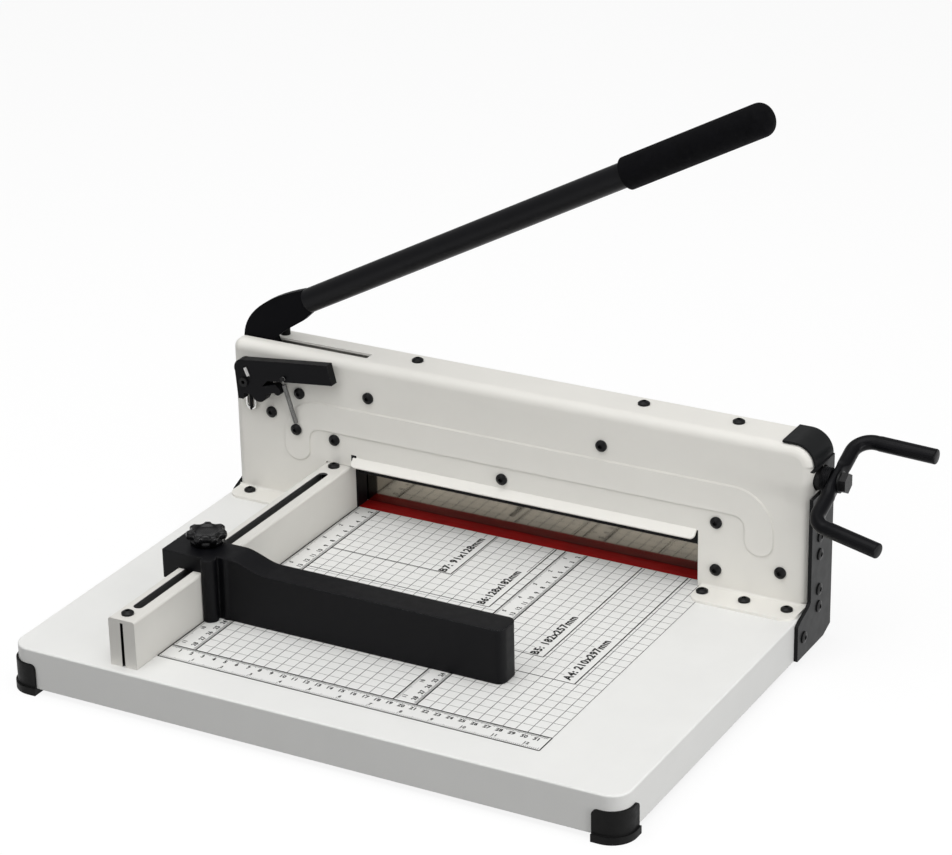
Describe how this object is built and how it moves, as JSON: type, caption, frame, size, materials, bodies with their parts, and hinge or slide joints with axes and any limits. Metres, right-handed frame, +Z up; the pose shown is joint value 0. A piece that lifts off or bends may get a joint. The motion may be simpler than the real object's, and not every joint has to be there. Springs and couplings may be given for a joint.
{
  "type": "stack paper cutter",
  "caption": "Manual stack paper cutter: gridded base board, lever blade in an upright housing, crank-driven clamp, side fence on a rail and a sprung safety lock",
  "frame": {"origin": "middle of the bounding box at floor level", "axes": "+X along the blade to the crank side, +Y to the back, +Z up"},
  "size_m": [0.5957, 0.3867, 0.4263],
  "materials": {
    "white_paint": "powder coat, satin",
    "dark_sheet": "satin",
    "foot_rubber": "matt",
    "stick_red": "satin",
    "black_paint": "satin",
    "screw_black": "black oxide",
    "machined_steel": "turned",
    "blade_mirror": "polished",
    "nut_brass": "machined",
    "crank_black": "gloss",
    "grip_rubber": "fine grain",
    "lock_plastic": "satin",
    "bright_steel": "plated",
    "fence_black": "cast, powder coat",
    "knob_plastic": "moulded"
  },
  "bodies": {
    "frame": {"base_tray": "white_paint", "base_panel": "dark_sheet", "corner_feet": "foot_rubber", "rear_feet": "foot_rubber", "cutting_stick": "stick_red", "guide_rail": "white_paint", "rail_screws": "screw_black", "front_cover": "white_paint", "rear_plate": "white_paint", "side_plate_right": "black_paint", "side_plate_left": "black_paint", "panel_screws": "screw_black", "top_screws": "screw_black", "flange_screws": "screw_black", "plate_screws": "screw_black", "tie_posts": "machined_steel", "rear_screws": "screw_black", "pivot_shaft": "machined_steel", "pivot_bushes": "machined_steel", "lever_stop": "foot_rubber", "guide_pins": "machined_steel", "clamp_guides": "black_paint", "screw_bearings": "machined_steel", "lock_block": "lock_plastic", "lock_bolt": "screw_black", "lock_loop": "bright_steel", "lock_anchor": "screw_black", "lock_spring": "bright_steel"},
    "lever": {"lever_elbow": "black_paint", "lever_tube": "black_paint", "lever_grip": "grip_rubber", "drive_pin": "machined_steel"},
    "blade_carriage": {"blade": "blade_mirror", "blade_bar": "machined_steel", "blade_bolts": "screw_black"},
    "clamp": {"clamp_bar": "black_paint", "follower_pins": "machined_steel"},
    "wedge": {"wedge_plate": "machined_steel", "wedge_nut": "nut_brass"},
    "crank": {"drive_screw": "screw_black", "crank_rod": "crank_black", "crank_bolt": "screw_black"},
    "lock": {"lock_lever": "lock_plastic", "lock_pin": "bright_steel", "lock_hook": "screw_black"},
    "fence": {"fence_arm": "fence_black", "fence_nut": "machined_steel"},
    "knob": {"fence_knob": "knob_plastic", "fence_stud": "machined_steel"}
  },
  "joints": [
    {"name": "lever_swing", "type": "hinge", "parent": "frame", "child": "lever", "pos_m": [-0.26597, 0.14617, 0.141], "axis": [0, -1, 0], "range_deg": [0, 45]},
    {"name": "blade_slide", "type": "slide", "parent": "frame", "child": "blade_carriage", "axis": [0.345, 0, 0.9386], "range_m": [0, 0.0406]},
    {"name": "crank_turn", "type": "hinge", "parent": "frame", "child": "crank", "pos_m": [0.23003, 0.14467, 0.141], "axis": [1, 0, 0], "range_deg": [0, 1440]},
    {"name": "wedge_slide", "type": "slide", "parent": "frame", "child": "wedge", "axis": [1, 0, 0], "range_m": [0, 0.03052]},
    {"name": "clamp_slide", "type": "slide", "parent": "frame", "child": "clamp", "axis": [0, 0, -1], "range_m": [0, 0.03052]},
    {"name": "lock_turn", "type": "hinge", "parent": "frame", "child": "lock", "pos_m": [-0.27397, 0.12168, 0.139], "axis": [0, -1, 0], "range_deg": [0, 30], "deforming": ["lock_spring"]},
    {"name": "fence_slide", "type": "slide", "parent": "frame", "child": "fence", "axis": [0, 1, 0], "range_m": [-0.055, 0.14]},
    {"name": "knob_turn", "type": "hinge", "parent": "fence", "child": "knob", "pos_m": [-0.19467, -0.06383, 0.0894], "axis": [0, 0, 1], "continuous": true}
  ],
  "couplings": [
    {"joint": "blade_slide", "follows": "lever_swing", "m_per_rad": 0.051672},
    {"joint": "wedge_slide", "follows": "crank_turn", "m_per_rad": 0.0012136},
    {"joint": "clamp_slide", "follows": "crank_turn", "m_per_rad": 0.0012136}
  ]
}
